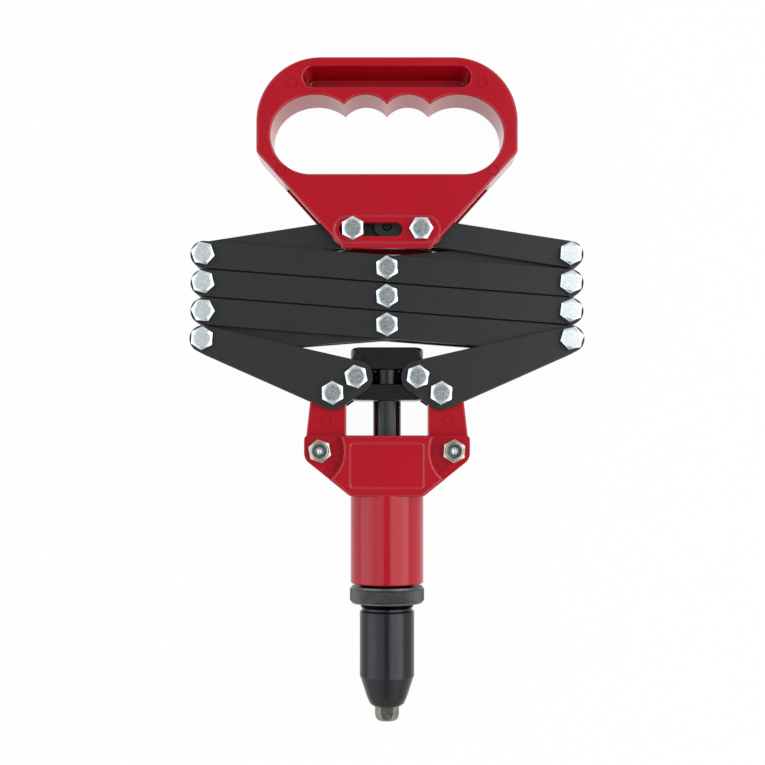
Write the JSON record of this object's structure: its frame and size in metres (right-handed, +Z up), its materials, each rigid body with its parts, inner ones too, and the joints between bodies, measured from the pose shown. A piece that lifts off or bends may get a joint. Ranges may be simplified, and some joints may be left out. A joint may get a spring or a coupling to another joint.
{
  "type": "lazy tong riveter",
  "caption": "Hand riveting tool with a folding lattice of flat black arms between a red loop handle and a red forked barrel with a round nose housing.",
  "frame": {"origin": "middle of the closed tool's outline, on the surface that it lies on", "axes": "+Y from the nose to the handle, +Z up out of the tool's front, +X to the right as the picture shows it"},
  "size_m": [0.1904, 0.3218, 0.0378],
  "materials": {
    "red_enamel": "gloss",
    "satin_black_steel": "satin",
    "zinc_plated_steel": "satin",
    "black_oxide_steel": "satin",
    "bright_steel": "satin"
  },
  "bodies": {
    "root": {"left_ear_bolt": "zinc_plated_steel", "left_ear_lock_nut": "zinc_plated_steel", "nose_housing": "black_oxide_steel", "nosepiece": "bright_steel", "right_ear_bolt": "zinc_plated_steel", "right_ear_lock_nut": "zinc_plated_steel", "yoke": "red_enamel"},
    "lock_ring": {"lock_ring": "black_oxide_steel"},
    "spindle": {"crosshead": "black_oxide_steel", "jaw_1": "bright_steel", "jaw_2": "bright_steel", "jaw_3": "bright_steel", "jaw_case": "black_oxide_steel", "jaw_pusher": "bright_steel", "pusher_spring": "bright_steel", "spindle": "black_oxide_steel"},
    "left_strut": {"left_strut": "red_enamel"},
    "right_strut": {"right_strut": "red_enamel"},
    "left_crank": {"left_crank_front": "satin_black_steel", "left_crank_rear": "satin_black_steel", "left_groove_bolt": "zinc_plated_steel", "left_pivot_bottom": "zinc_plated_steel", "left_strut_bolt": "zinc_plated_steel"},
    "right_crank": {"right_crank_front": "satin_black_steel", "right_crank_rear": "satin_black_steel", "right_groove_bolt": "zinc_plated_steel", "right_pivot_bottom": "zinc_plated_steel", "right_strut_bolt": "zinc_plated_steel"},
    "lower_rising_arm": {"lower_rising_arm_front": "satin_black_steel", "lower_rising_arm_rear": "satin_black_steel"},
    "lower_falling_arm": {"centre_pivot_lower": "zinc_plated_steel", "left_pivot_lower": "zinc_plated_steel", "lower_falling_arm_front": "satin_black_steel", "lower_falling_arm_rear": "satin_black_steel"},
    "middle_falling_arm": {"centre_pivot_middle": "zinc_plated_steel", "left_pivot_upper": "zinc_plated_steel", "middle_falling_arm_front": "satin_black_steel", "middle_falling_arm_rear": "satin_black_steel", "right_pivot_lower": "zinc_plated_steel"},
    "middle_rising_arm": {"middle_rising_arm_front": "satin_black_steel", "middle_rising_arm_rear": "satin_black_steel"},
    "upper_rising_arm": {"upper_rising_arm_front": "satin_black_steel", "upper_rising_arm_rear": "satin_black_steel"},
    "upper_falling_arm": {"centre_pivot_upper": "zinc_plated_steel", "left_pivot_top": "zinc_plated_steel", "right_pivot_upper": "zinc_plated_steel", "upper_falling_arm_front": "satin_black_steel", "upper_falling_arm_rear": "satin_black_steel"},
    "left_top_arm": {"left_handle_bolt": "zinc_plated_steel", "left_handle_nut": "zinc_plated_steel", "left_top_arm_front": "satin_black_steel", "left_top_arm_rear": "satin_black_steel"},
    "right_top_arm": {"apex_pin": "zinc_plated_steel", "right_handle_bolt": "zinc_plated_steel", "right_handle_nut": "zinc_plated_steel", "right_pivot_top": "zinc_plated_steel", "right_top_arm_front": "satin_black_steel", "right_top_arm_rear": "satin_black_steel"},
    "handle": {"handle": "red_enamel"}
  },
  "joints": [
    {"name": "left_crank_pivot", "type": "hinge", "parent": "left_strut", "child": "left_crank", "pos_m": [-0.0261, -0.001, 0.0185], "axis": [0, 0, -1], "range_deg": [0, 47.35]},
    {"name": "right_crank_pivot", "type": "hinge", "parent": "right_strut", "child": "right_crank", "pos_m": [0.0261, -0.001, 0.0185], "axis": [0, 0, 1], "range_deg": [0, 47.35]},
    {"name": "left_ear_pivot", "type": "hinge", "parent": "root", "child": "left_strut", "pos_m": [-0.0322, -0.029, 0.0185], "axis": [0, 0, 1], "range_deg": [0, 5]},
    {"name": "right_ear_pivot", "type": "hinge", "parent": "root", "child": "right_strut", "pos_m": [0.0322, -0.029, 0.0185], "axis": [0, 0, -1], "range_deg": [0, 5]},
    {"name": "left_bottom_pivot", "type": "hinge", "parent": "left_crank", "child": "lower_rising_arm", "pos_m": [-0.08873, 0.0252, 0.0185], "axis": [0, 0, 1], "range_deg": [0, 87.91]},
    {"name": "lower_centre_pivot", "type": "hinge", "parent": "lower_rising_arm", "child": "lower_falling_arm", "pos_m": [0, 0.03207, 0.0185], "axis": [0, 0, -1], "range_deg": [0, 91.14]},
    {"name": "right_lower_pivot", "type": "hinge", "parent": "lower_rising_arm", "child": "middle_falling_arm", "pos_m": [0.08873, 0.03895, 0.0185], "axis": [0, 0, -1], "range_deg": [0, 91.14]},
    {"name": "middle_centre_pivot", "type": "hinge", "parent": "middle_falling_arm", "child": "middle_rising_arm", "pos_m": [0, 0.04582, 0.0185], "axis": [0, 0, 1], "range_deg": [0, 91.14]},
    {"name": "left_upper_pivot", "type": "hinge", "parent": "middle_falling_arm", "child": "upper_rising_arm", "pos_m": [-0.08873, 0.0527, 0.0185], "axis": [0, 0, 1], "range_deg": [0, 91.14]},
    {"name": "upper_centre_pivot", "type": "hinge", "parent": "upper_rising_arm", "child": "upper_falling_arm", "pos_m": [0, 0.05958, 0.0185], "axis": [0, 0, -1], "range_deg": [0, 91.14]},
    {"name": "left_top_pivot", "type": "hinge", "parent": "upper_falling_arm", "child": "left_top_arm", "pos_m": [-0.08873, 0.06645, 0.0185], "axis": [0, 0, 1], "range_deg": [0, 86.45]},
    {"name": "right_top_pivot", "type": "hinge", "parent": "upper_rising_arm", "child": "right_top_arm", "pos_m": [0.08873, 0.06645, 0.0185], "axis": [0, 0, -1], "range_deg": [0, 86.45]},
    {"name": "handle_pivot", "type": "hinge", "parent": "right_top_arm", "child": "handle", "pos_m": [0.0164, 0.0777, 0.0185], "axis": [0, 0, 1], "range_deg": [0, 40.88]},
    {"name": "spindle_slide", "type": "slide", "parent": "root", "child": "spindle", "axis": [0, -1, 0], "range_m": [0, 0.00919]},
    {"name": "lock_ring_spin", "type": "hinge", "parent": "root", "child": "lock_ring", "pos_m": [0, -0.09945, 0.0185], "axis": [0, 1, 0], "continuous": true}
  ],
  "couplings": [
    {"joint": "right_crank_pivot", "follows": "left_crank_pivot", "ratio": 1},
    {"joint": "left_ear_pivot", "follows": "left_crank_pivot", "ratio": 0.10561},
    {"joint": "right_ear_pivot", "follows": "left_crank_pivot", "ratio": 0.10561},
    {"joint": "left_bottom_pivot", "follows": "left_crank_pivot", "ratio": 1.8569},
    {"joint": "lower_centre_pivot", "follows": "left_crank_pivot", "ratio": 1.925},
    {"joint": "right_lower_pivot", "follows": "left_crank_pivot", "ratio": 1.925},
    {"joint": "middle_centre_pivot", "follows": "left_crank_pivot", "ratio": 1.925},
    {"joint": "left_upper_pivot", "follows": "left_crank_pivot", "ratio": 1.925},
    {"joint": "upper_centre_pivot", "follows": "left_crank_pivot", "ratio": 1.925},
    {"joint": "left_top_pivot", "follows": "left_crank_pivot", "ratio": 1.826},
    {"joint": "right_top_pivot", "follows": "left_crank_pivot", "ratio": 1.826},
    {"joint": "handle_pivot", "follows": "left_crank_pivot", "ratio": 0.86345},
    {"joint": "spindle_slide", "follows": "left_crank_pivot", "m_per_rad": 0.011119}
  ]
}
